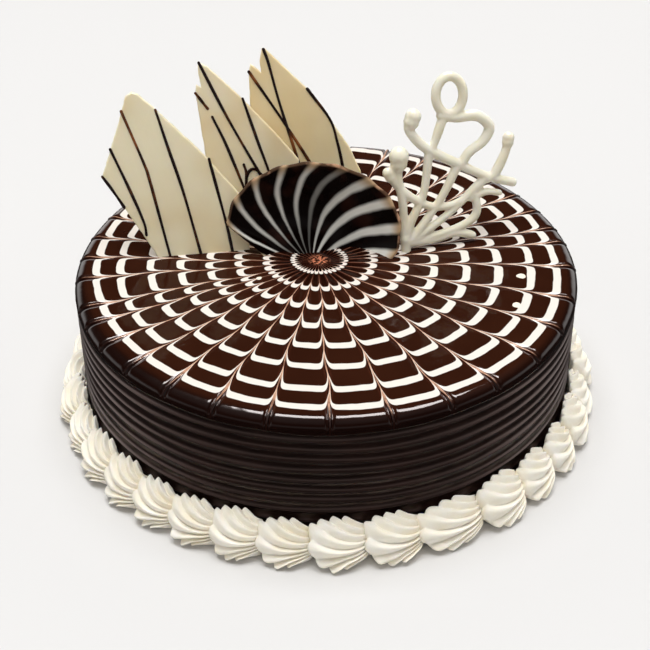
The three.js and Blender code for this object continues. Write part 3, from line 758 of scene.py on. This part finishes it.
def make_combed_side():
    grooves = range(math.floor(-LOWEST_COMB_GROOVE / COMB_PITCH), math.ceil(COMB_TOP / COMB_PITCH))
    rows = [LOWEST_COMB_GROOVE + COMB_PITCH * (groove + share) for groove in grooves for share in GROOVE_ROWS]
    heights = PLAIN_FOOT_ROWS + [row for row in rows if COMB_BOTTOM < row < COMB_TOP] + [COMB_TOP]
    angles = np.arange(SIDE_COLUMNS) / SIDE_COLUMNS * 2 * math.pi
    height, angle = np.meshgrid(heights, angles, indexing="ij")
    radius = CAKE_RADIUS - comb_relief(height, angle)
    radius += waves(angle, [(0.15, 2, 1), (0.1, 7, 0.1 * height)])
    wandered = height + comb_wander(height, angle)
    points = np.concatenate([heading(angle) * radius[..., None], wandered[..., None]], axis=-1)
    rippled = ripple(points, SIDE_RIPPLE_LENGTH, 5) * SIDE_RIPPLE_HEIGHT / CAKE_RADIUS
    points[..., :2] *= (1 + rippled)[..., None]
    mesh = new_mesh("combed_side", points.reshape(-1, 3), capped_grid(len(heights), SIDE_COLUMNS))
    return add_piece("combed_side", mesh, [combed_cream_material()], "cake_body")


# ---- Feathered glaze ----

def web_columns():
    """The glaze's columns, close together at the drag lines: angle, lane, lane width and offset."""
    columns = []
    ends = DRAG_LINES[1:] + [DRAG_LINES[0] + 360]
    for number, (start, end) in enumerate(zip(DRAG_LINES, ends)):
        start, end = math.radians(start), math.radians(end)
        width = end - start
        offsets = [offset / CAKE_RADIUS for offset in COLUMN_OFFSETS]
        near = [offset for offset in offsets if offset < COLUMNS_WITHIN * width]
        for offset in near + [width / 2] + [width - offset for offset in near[:0:-1]]:
            columns.append((start + offset, number + offset / width, width, min(offset, width - offset)))
    columns.append((math.radians(DRAG_LINES[0] + 360), len(DRAG_LINES), columns[-1][2], 0.0))
    return np.array(columns).T


def ring_radius(points):
    """The distance from the rings' middle, which drifts from ring to ring, with their uneven shape."""
    radius = np.linalg.norm(points - OUTER_RING_CENTRE, axis=-1)
    for _ in range(4):
        share = np.clip(radius / RING_RADII[0], 0, 1)[..., None]
        radius = np.linalg.norm(points - lerp(INNER_RING_CENTRE, OUTER_RING_CENTRE, share), axis=-1)
    angle = np.arctan2(points[..., 1], points[..., 0])
    share = radius / RING_RADII[0]
    uneven = (1.4 + 0.8 * share) * np.sin(angle) + (0.4 - share) * np.cos(2 * angle)
    uneven -= (0.2 + 0.8 * share) * np.sin(2 * angle)
    lean = angle + WEB_LEAN
    uneven += share * (0.7 * np.cos(lean) + 0.5 * np.cos(2 * lean))
    return radius - uneven * np.clip(radius / 8, 0, 1)


def nick(offset, strength):
    """The small ridge between two grooves that the dragged point leaves in the glaze."""
    ridge = NICK_RIDGE_HEIGHT * np.exp(-(offset / NICK_RIDGE_WIDTH) ** 2)
    grooves = NICK_GROOVE_DEPTH * np.exp(-((offset - NICK_GROOVE_OFFSET) / NICK_GROOVE_WIDTH) ** 2)
    return (ridge - grooves) * strength


def glaze_rim():
    """The rim's profile outwards and down: distance out, height, and the surface's direction."""
    profile = []
    for angle in np.linspace(0, math.pi / 2, GLAZE_RIM_ROWS):
        out = CAKE_RADIUS - GLAZE_RIM_WIDTH * (1 - math.sin(angle))
        up = CAKE_HEIGHT - GLAZE_RIM_HEIGHT * (1 - math.cos(angle))
        tilt = math.atan2(math.sin(angle) / GLAZE_RIM_WIDTH, math.cos(angle) / GLAZE_RIM_HEIGHT)
        profile.append((out, up, math.sin(tilt), math.cos(tilt)))
    for share in (0.35, 0.7, 1.0):
        up = lerp(CAKE_HEIGHT - GLAZE_RIM_HEIGHT, GLAZE_LIP_HEIGHT, share)
        profile.append((CAKE_RADIUS - 0.1 * share, up, 1.0, 0.0))
    rounded = CAKE_RADIUS - 2 * GLAZE_LIP_ROUNDING
    profile.append((rounded, GLAZE_LIP_HEIGHT - GLAZE_LIP_ROUNDING, 0.5, -0.85))
    profile.append((CAKE_RADIUS - GLAZE_LIP_DEPTH, GLAZE_LIP_HEIGHT, 0.0, -1.0))
    return profile


def glaze_top(angle, lane, width, offset, reach):
    """The rows of the flat top from its middle out, and each point's lane, lane width and ring radius."""
    rows, webs = [], []
    for share in np.linspace(INNERMOST_ROW, 1, GLAZE_TOP_ROWS):
        distance = reach * share
        waver = waves(angle, [(0.55, 5, 0.11 * distance), (0.3, -9, 0.23 * distance)])
        waver = waver * np.clip(distance / 40, 0, 1) * np.clip((1 - share) / 0.12, 0, 1)
        flat = WEB_CENTRE + distance[:, None] * heading(angle + waver / distance)
        strength = lerp(0.1, 0.75, smoothstep(distance, reach - 9, reach))
        lift = nick(offset * distance, strength) * np.clip(distance / 25, 0, 1)
        rows.append(np.column_stack([flat, CAKE_HEIGHT + lift]))
        webs.append(np.stack([lane, width * distance, ring_radius(flat)], axis=-1))
    return rows, webs


def glaze_edge(angle, lane, width, offset, reach):
    """The same for the rows that go on over the rim to the lip."""
    rows, webs = [], []
    edge = WEB_CENTRE + reach[:, None] * heading(angle)
    outward = edge / np.linalg.norm(edge, axis=1)[:, None]
    edge_ring = ring_radius(edge)
    profile = glaze_rim()
    travelled = 0.0
    for last, (out, up, normal_out, normal_up) in zip(profile, profile[1:]):
        travelled += math.hypot(out - last[0], up - last[1])
        distance = reach + travelled
        lift = nick(offset * distance, 1.0 - smoothstep(travelled, 5.0, 7.0))
        droop = waves(angle, GLAZE_DROOP) * smoothstep(CAKE_HEIGHT - up, *DROOP_DEPTHS)
        flat = outward * (out + lift * normal_out)[:, None]
        rows.append(np.column_stack([flat, up + lift * normal_up + droop]))
        webs.append(np.stack([lane, width * distance, edge_ring + travelled], axis=-1))
    return rows, webs


def corner_webs(webs, columns):
    """The web's numbers at each corner of the glaze's faces: quads, then the middle, then the foot."""
    row, column = np.divmod(np.arange((len(webs) - 1) * columns), columns)
    steps = [(0, 0), (1, 0), (1, 1), (0, 1)]
    corners = [webs[row + down, column + beside] for down, beside in steps]
    values = [np.stack(corners, axis=1).reshape(-1, 3)]
    inner = webs[0]
    for number in range(columns):
        centre = np.array([inner[number, 0], 0.0, 0.0])
        values.append(np.stack([centre, inner[number], inner[number + 1]]))
    return values + [webs[-1, :columns][::-1]]


def make_glaze():
    angle, lane, width, offset = web_columns()
    along = heading(angle) @ WEB_CENTRE
    flat_radius = CAKE_RADIUS - GLAZE_RIM_WIDTH
    reach = -along + np.sqrt(along ** 2 + flat_radius ** 2 - WEB_CENTRE @ WEB_CENTRE)
    top_rows, top_webs = glaze_top(angle, lane, width, offset, reach)
    edge_rows, edge_webs = glaze_edge(angle, lane, width, offset, reach)
    points, webs = np.array(top_rows + edge_rows), np.array(top_webs + edge_webs)
    rows, columns = points.shape[0], points.shape[1] - 1
    middle = rows * columns
    faces = grid_quads(rows, columns, flip=True)
    faces.extend([middle, column, (column + 1) % columns] for column in range(columns))
    faces.append([(rows - 1) * columns + column for column in range(columns)][::-1])
    all_points = np.concatenate([points[:, :columns].reshape(-1, 3), [[*WEB_CENTRE, CAKE_HEIGHT]]])
    mesh = new_mesh("feathered_glaze", all_points, faces)
    store_field(mesh, "web", "CORNER", corner_webs(webs, columns))
    return add_piece("feathered_glaze", mesh, [web_glaze_material()], "web_glaze")


# ---- Cream shells ----

def shell_fullness(distance):
    """How full a shell is at a distance from where its ridges meet, past the tail."""
    along = (SHELL_HALF_LENGTH + RIDGES_MEET_AT - distance) / SHELL_HALF_LENGTH
    swell = np.sqrt(np.clip(1 - ((along - SHELL_BULGE_AT) / SHELL_BULGE_SPAN) ** 2, 0, None))
    return SHELL_TAIL + (1 - SHELL_TAIL) * swell


def ridge_line_at(line, distance):
    """How far a ridge line lies above or below the shell's middle, measured round its girth."""
    fan_out = FAN_OUT_AT_TAIL + (1 - FAN_OUT_AT_TAIL) * distance / FAN_OUT_LENGTH
    spread = np.maximum(1 + LOW_RIDGE_SPREAD * (distance - RIDGE_DIP_AT), LEAST_SPREAD)
    low = line * np.where(line < 0, spread, 1)
    return low * fan_out - RIDGE_DIP + RIDGE_LIFT * (distance - RIDGE_DIP_AT) ** 2


def ridge_profile(number):
    """1 along each ridge's rounded crest, falling straight to 0 in the sharp valleys beside it."""
    off_crest = np.abs(2 * (number % 1) - 1)
    fall = np.hypot(off_crest, RIDGE_ROUNDNESS) - RIDGE_ROUNDNESS
    return 1 - fall / (math.hypot(1, RIDGE_ROUNDNESS) - RIDGE_ROUNDNESS)


def ridge_starts(lines, crest):
    """The distance at which each line starts: at the head's rounded end or on the cake's side."""
    from_middle = np.maximum(np.abs(lines - HEAD_MIDDLE_LINE) - HEAD_FLAT_SPAN, 0)
    head = HEAD_END - HEAD_SLANT * from_middle - RIDGE_TOOTH * (1 - crest)
    distances = np.linspace(HEAD_END, TAIL_END + 0.4, 500)
    girth = SHELL_GIRTH * shell_fullness(distances)
    inside = np.abs(ridge_line_at(lines[:, None], distances)) <= girth
    return np.minimum(head, distances[np.argmax(inside, axis=1)])


def shell_surface(start_angle, end_angle, size, seed):
    """One piped shell: lines with rounded crests between sharp valleys run from head to tail."""
    random = np.random.default_rng(seed)
    number = np.arange(RIDGES * LINES_PER_RIDGE + 1) / LINES_PER_RIDGE
    lines = LOWEST_RIDGE_LINE + number * RIDGE_SPACING
    crest = ridge_profile(number)
    starts = ridge_starts(lines, crest)
    steps = np.linspace(0, 1, RIDGE_STEPS + 1) ** RIDGE_STEP_GROWTH
    distance = lerp(starts[:, None], TAIL_END, steps)
    fullness = shell_fullness(distance)
    share = np.clip(ridge_line_at(lines[:, None], distance) / (SHELL_GIRTH * fullness), -1, 1)
    turns = np.linspace(math.pi / 2, 0, CAP_STEPS, endpoint=False)
    cap_size = 1 - CAP_DEPTH * (1 - np.cos(turns))
    distance = np.hstack([distance[:, :1] + CAP_LENGTH * np.sin(turns) * cap_size, distance])
    fullness = np.hstack([fullness[:, :1] * cap_size, fullness])
    share = np.hstack([np.repeat(share[:, :1], CAP_STEPS, axis=1), share])

    footing = np.clip(number / FOOT_SHARE, 0, 1)[:, None]
    swing = (share + 1) * math.pi / 4 * footing
    reach = SHELL_REACH * size * fullness
    height = SHELL_HEIGHT * size * lerp(SHELL_LOW_SHARE, 1, fullness)
    height[:, :CAP_STEPS] = height[:, CAP_STEPS:CAP_STEPS + 1] * cap_size
    even = (np.cos(swing) / reach) ** SHELL_SQUARENESS + (np.sin(swing) / height) ** SHELL_SQUARENESS
    ridge_sizes = random.uniform(*RIDGE_SIZES, RIDGES + 1)[np.floor(number).astype(int)]
    relief = crest * (RIDGE_CREST + RIDGE_VALLEY) * ridge_sizes - RIDGE_VALLEY
    near_head = np.clip(1 - np.concatenate([np.zeros(CAP_STEPS), steps]) / FLATTENING_SPAN, 0, 1)
    flattened = 1 - FLATTENING * smoothstep(share, *UPPER_RIDGES) * near_head
    ray = even ** (-1 / SHELL_SQUARENESS) + relief[:, None] * fullness * flattened
    ray *= lerp(FOOT_REACH_SHARE, 1, footing)

    stretch = (end_angle - start_angle) * BORDER_RADIUS / (2 * SHELL_HALF_LENGTH)
    along = (SHELL_HALF_LENGTH + RIDGES_MEET_AT - distance) * stretch
    angle = (start_angle + end_angle) / 2 + along / BORDER_RADIUS
    out = np.concatenate([heading(angle), np.zeros_like(angle)[..., None]], axis=-1)
    away = out * np.cos(swing)[..., None] + np.array([0, 0, 1]) * np.sin(swing)[..., None]
    points = out * BORDER_INNER_RADIUS + away * ray[..., None]
    rippled = ripple(points, SHELL_RIPPLE_LENGTH, seed) * SHELL_RIPPLE_HEIGHT
    points = points + away * (rippled * fullness)[..., None]
    points[..., 2] = np.maximum(points[..., 2], 0)
    return points


def make_shell(number, start_angle, end_angle, material):
    """A shell's ridged skin, closed by a fan of faces from its root at the foot of the cake."""
    size = MEAN_SHELL_SIZE + SHELL_UNEVENNESS * math.sin(2.4 * number + 1)
    points = shell_surface(start_angle, end_angle, size, FIRST_SHELL_SEED + number)
    lines, steps = points.shape[:2]
    to_root = SHELL_HALF_LENGTH + RIDGES_MEET_AT - SHELL_ROOT_DISTANCE
    angle = (start_angle + end_angle) / 2 + to_root / BORDER_RADIUS
    root = [*BORDER_INNER_RADIUS * heading(angle), 0.0]
    faces = grid_quads(lines, steps, closed=False)
    faces += [[lines * steps, beside, here] for here, beside in grid_border(lines, steps)]
    name = f"cream_shell_{number + 1:02d}"
    mesh = new_mesh(f"{name}_piped", np.concatenate([points.reshape(-1, 3), [root]]), faces)
    return add_piece(f"{name}_piped", mesh, [material], name)


def make_border():
    """The row of shells round the foot, as seen at the front and evenly spaced behind."""
    material = white_cream_material()
    gap = (SEEN_JOINTS[0] + 360 - SEEN_JOINTS[-1]) / UNSEEN_SHELLS
    joints = SEEN_JOINTS + [SEEN_JOINTS[-1] + step * gap for step in range(1, UNSEEN_SHELLS + 1)]
    joints = [math.radians(joint) for joint in joints]
    for number, (start, end) in enumerate(zip(joints, joints[1:])):
        make_shell(number, start, end, material)


# ---- Shards ----

def broken_edge(outline, seed):
    """The outline with small uneven steps, as a sheet breaks."""
    random = np.random.default_rng(seed)
    points = []
    given = [np.array(point, float) for point in outline]
    for here, following in zip(given, given[1:] + given[:1]):
        length = np.linalg.norm(following - here)
        steps = max(1, round(length / BROKEN_EDGE_STEP))
        sideways = np.array([here[1] - following[1], following[0] - here[0]]) / length
        for step in range(steps):
            wobble = random.uniform(-BROKEN_EDGE_WOBBLE, BROKEN_EDGE_WOBBLE) if step else 0.0
            points.append(lerp(here, following, step / steps) + sideways * wobble)
    return np.array(points)


def shard_body(outline, seed):
    """A thin sheet: rings of points from the front face round the edge to the back face."""
    edge = broken_edge(outline, seed)
    along = np.roll(edge, -1, axis=0) - np.roll(edge, 1, axis=0)
    along /= np.linalg.norm(along, axis=1)[:, None]
    inward = np.stack([along[:, 1], -along[:, 0]], axis=1)
    rings = []
    for angle in np.linspace(0, math.pi / 2, SHARD_ROUNDING_ROWS):
        inset = SHARD_ROUNDING * (1 - math.sin(angle))
        depth = -SHARD_ROUNDING * (1 - math.cos(angle))
        rings.append(np.column_stack([edge + inward * inset, np.full(len(edge), depth)]))
    for ring in rings[::-1]:
        rings.append(np.column_stack([ring[:, :2], -SHARD_THICKNESS - ring[:, 2]]))
    return np.concatenate(rings), capped_grid(len(rings), len(edge))


def drizzle_line(points):
    """A thin, slightly flat line of chocolate that swells and thins a little."""
    line = smooth_line(points, 1.0)
    share = np.linspace(0, 1, len(line))
    radii = DRIZZLE_RADIUS * (1 + 0.12 * np.sin(9 * share + points[0][0]))
    return tube(line, radii, DRIZZLE_SIDES, flatness=DRIZZLE_FLATNESS)


def make_shard(node, outline, drizzle, place, seed, materials):
    """A shard with its drizzle; the body's faces come first and end with its flat front and back."""
    body = shard_body(outline, seed)
    body_faces = len(body[1])
    points, faces = joined([body] + [drizzle_line(line) for line in drizzle])
    mesh = new_mesh(f"{node}_drizzled", placed(points, place), faces)
    piece = add_piece(f"{node}_drizzled", mesh, materials, node)
    for polygon in mesh.polygons[body_faces:]:
        polygon.material_index = 1
    for polygon in mesh.polygons[body_faces - 2:body_faces]:
        polygon.use_smooth = False
    return piece


def make_shards():
    drizzle = drizzle_material()
    left = white_chocolate_material("white_chocolate_left", srgb(243, 233, 201), srgb(230, 211, 167))
    middle = white_chocolate_material("white_chocolate_middle", srgb(246, 236, 206), srgb(230, 208, 162))
    right = white_chocolate_material("white_chocolate_right", srgb(241, 226, 186), srgb(233, 211, 162))
    make_shard("shard_left", LEFT_SHARD, LEFT_DRIZZLE, LEFT_SHARD_PLACE, 1, [left, drizzle])
    make_shard("shard_middle", MIDDLE_SHARD, MIDDLE_DRIZZLE, MIDDLE_SHARD_PLACE, 2, [middle, drizzle])
    make_shard("shard_right", RIGHT_SHARD, RIGHT_DRIZZLE, RIGHT_SHARD_PLACE, 3, [right, drizzle])


# ---- Fan ----

def fan_reach(direction):
    """How far the fan reaches from its root: to the oval edge or to the straight one at its left foot."""
    root = np.array([0, -FAN_SUNK])
    start = (root - FAN_CENTRE) / FAN_HALF_SIZE
    step = heading(direction) / FAN_HALF_SIZE
    a, b, c = (step ** 2).sum(axis=-1), step @ start, start @ start - 1
    to_oval = (np.sqrt(b * b - a * c) - b) / a
    edge = FAN_LEFT_FOOT - FAN_LEFT_CORNER
    normal = np.array([edge[1], -edge[0]])
    towards = heading(direction) @ normal
    to_edge = (FAN_LEFT_FOOT - root) @ normal / towards
    return np.where(towards > 0, np.minimum(to_oval, to_edge), to_oval)


def fan_surfaces(direction, share):
    """The front and back of the fan, at each direction from its root and share of the way to its rim."""
    depth = lerp(FAN_DEPTH, FAN_LEFT_DEPTH, smoothstep(direction, FAN_DEEP_UNTIL, FAN_SHALLOW_FROM))
    hollow = depth * np.sin(math.pi * share ** FAN_HOLLOW_CURVE)
    fluting = np.sin((direction - FIRST_STRIPE) / STRIPE_SPACING * 2 * math.pi)
    to_rim = np.clip((share - FAN_RIM_FROM) / (1 - FAN_RIM_FROM), 0, 1)
    half = FAN_THICKNESS / 2 * np.sqrt(1 - FAN_RIM_THINNING * to_rim ** 2)
    distance = (fan_reach(direction) + SCALLOP_SIZE * fluting * share ** 6) * share
    across, up = distance * np.cos(direction), distance * np.sin(direction) - FAN_SUNK
    middle = FLUTE_HEIGHT * fluting * share ** 2 - hollow - FAN_THICKNESS / 2
    return [np.stack([across, up, middle + side], axis=-1).reshape(-1, 3) for side in (half, -half)]


def make_fan():
    directions = np.linspace(0, math.pi, FAN_ARC_STEPS + 1)
    shares = np.linspace(FAN_ROOT, 1, FAN_REACH_STEPS)
    direction, share = np.meshgrid(directions, shares, indexing="ij")
    points = np.concatenate(fan_surfaces(direction, share))
    arcs, steps = share.shape
    size = arcs * steps
    front = grid_quads(arcs, steps, closed=False)
    faces = front + [[corner + size for corner in face][::-1] for face in front]
    faces += [[here, here + size, beside + size, beside] for here, beside in grid_border(arcs, steps)]
    mesh = new_mesh("striped_fan", placed(points, FAN_PLACE), faces)
    fields = np.stack([direction, share, np.zeros_like(share)], axis=-1).reshape(-1, 3)
    store_field(mesh, "fan", "POINT", [fields, fields])
    return add_piece("striped_fan", mesh, [marbled_fan_material()], "chocolate_fan")


# ---- Filigree ----

def ball(across, up, radius):
    """A round knob at the end of a stroke."""
    rows = np.radians(np.linspace(-85, 85, KNOB_ROWS))
    row, angle = np.meshgrid(rows, np.arange(KNOB_SIDES) / KNOB_SIDES * 2 * math.pi, indexing="ij")
    flat = heading(angle) * np.cos(row)[..., None]
    points = radius * np.concatenate([flat, np.sin(row)[..., None]], axis=-1)
    return points.reshape(-1, 3) + [across, up, 0], capped_grid(KNOB_ROWS, KNOB_SIDES)


def melted_together(name, points, faces, voxel):
    """Joins overlapping strokes into one skin and softens where they cross."""
    rough = add_object(name, new_mesh(name, points, faces))
    remesh = rough.modifiers.new("skin", "REMESH")
    remesh.mode = "VOXEL"
    remesh.voxel_size = voxel * MM
    soften = rough.modifiers.new("soften", "SMOOTH")
    soften.factor = 0.5
    soften.iterations = 5
    finished = rough.evaluated_get(bpy.context.evaluated_depsgraph_get())
    mesh = bpy.data.meshes.new_from_object(finished)
    bpy.data.objects.remove(rough)
    return mesh


def piped_stroke(radius, points):
    """A round stroke along a smooth line, a little thicker and thinner as it goes."""
    line = smooth_line(points, 1.2)
    share = np.linspace(0, 1, len(line))
    return tube(line, radius * (1.05 + 0.07 * np.sin(7 * share + points[0][0])), STROKE_SIDES)


def piped_loop():
    line = LOOP_CENTRE + LOOP_HALF_SIZE * heading(np.arange(LOOP_STEPS) / LOOP_STEPS * 2 * math.pi)
    return tube(line, np.full(LOOP_STEPS, LOOP_RADIUS), STROKE_SIDES, closed=True)


def make_filigree():
    strokes = [piped_stroke(radius, points) for radius, points in STROKES]
    points, faces = joined(strokes + [piped_loop()] + [ball(*knob) for knob in KNOBS])
    mesh = melted_together("piped_filigree", placed(points, FILIGREE_PLACE), faces, FILIGREE_VOXEL)
    ivory = white_chocolate_material("piped_white_chocolate", srgb(240, 236, 218), srgb(234, 227, 202), 12.0)
    return add_piece("piped_filigree", mesh, [ivory], "filigree")


# ---- Floor, light and camera ----

def make_floor():
    corners = np.array([(-1, -1, 0), (1, -1, 0), (1, 1, 0), (-1, 1, 0)]) * FLOOR_HALF_SIZE
    mesh = new_mesh("floor", corners - np.array([0, 0, FLOOR_DEPTH]), [[0, 1, 2, 3]])
    look = Shader("pale_floor")
    look.set(
        Base_Color=look.mix(look.noise(400.0), srgb(217, 216, 215), srgb(220, 219, 218)),
        Roughness=0.6,
        Specular_IOR_Level=0.0,
    )
    mesh.materials.append(look.owner)
    floor = add_object("floor", mesh)
    floor.visible_glossy = False


def make_sky():
    """Even pale light from all round; shiny surfaces mirror a bright low band and a bright top instead."""
    sky = Shader("studio", "worlds", "Background")
    _, back, up = sky.split(sky.add("TexCoord")["Generated"])
    overhead = sky.ramp(up, *OVERHEAD_HEIGHTS, *OVERHEAD_GLOWS)
    band = sky.times(sky.ramp(up, *BAND_STARTS), sky.ramp(up, *BAND_ENDS, 1.0, 0.0))
    band = sky.times(band, sky.ramp(back, *FRONT_TO_SIDES, *BAND_GLOWS))
    path = sky.add("LightPath")
    seen = sky.ramp(path["Is Camera Ray"], 0.0, 1.0, SKY_STRENGTH, BACKDROP_STRENGTH)
    lights = {0: path["Is Glossy Ray"], "A": seen, "B": sky.plus(overhead, band)}
    sky.set(Strength=sky.add("Mix", lights)["Result"], Color=SKY_COLOUR)
    bpy.context.scene.world = sky.owner


def add_lamp(name, place, size, power, colour, mirrored=False):
    """A soft lamp that faces the cake; one that is mirrored lights nothing else."""
    lamp = bpy.data.lights.new(name, "AREA")
    lamp.shape = "RECTANGLE"
    lamp.size, lamp.size_y = size
    lamp.energy = power
    lamp.color = colour
    item = add_object(name, lamp)
    item.location = place
    item.rotation_euler = (LAMP_TARGET - Vector(place)).to_track_quat("-Z", "Y").to_euler()
    item.visible_glossy = mirrored
    item.visible_diffuse = not mirrored


def make_lights():
    add_lamp("overhead", **OVERHEAD_LAMP)
    add_lamp("back_softbox", **BACK_SOFTBOX, mirrored=True)


def make_camera():
    camera = bpy.data.cameras.new("camera")
    camera.lens = CAMERA_LENS
    camera.sensor_width = CAMERA_SENSOR
    item = add_object("camera", camera)
    tilt = Matrix.Rotation(math.radians(90 - CAMERA_ELEVATION), 4, "X")
    roll = Matrix.Rotation(math.radians(CAMERA_ROLL), 4, "Z")
    item.matrix_world = Matrix.Translation(CAMERA_PLACE * MM) @ tilt @ roll
    bpy.context.scene.camera = item


make_camera()
make_sky()
make_lights()
make_floor()
make_combed_side()
make_glaze()
make_border()
make_shards()
make_fan()
make_filigree()
bpy.context.scene.view_settings.view_transform = "Standard"
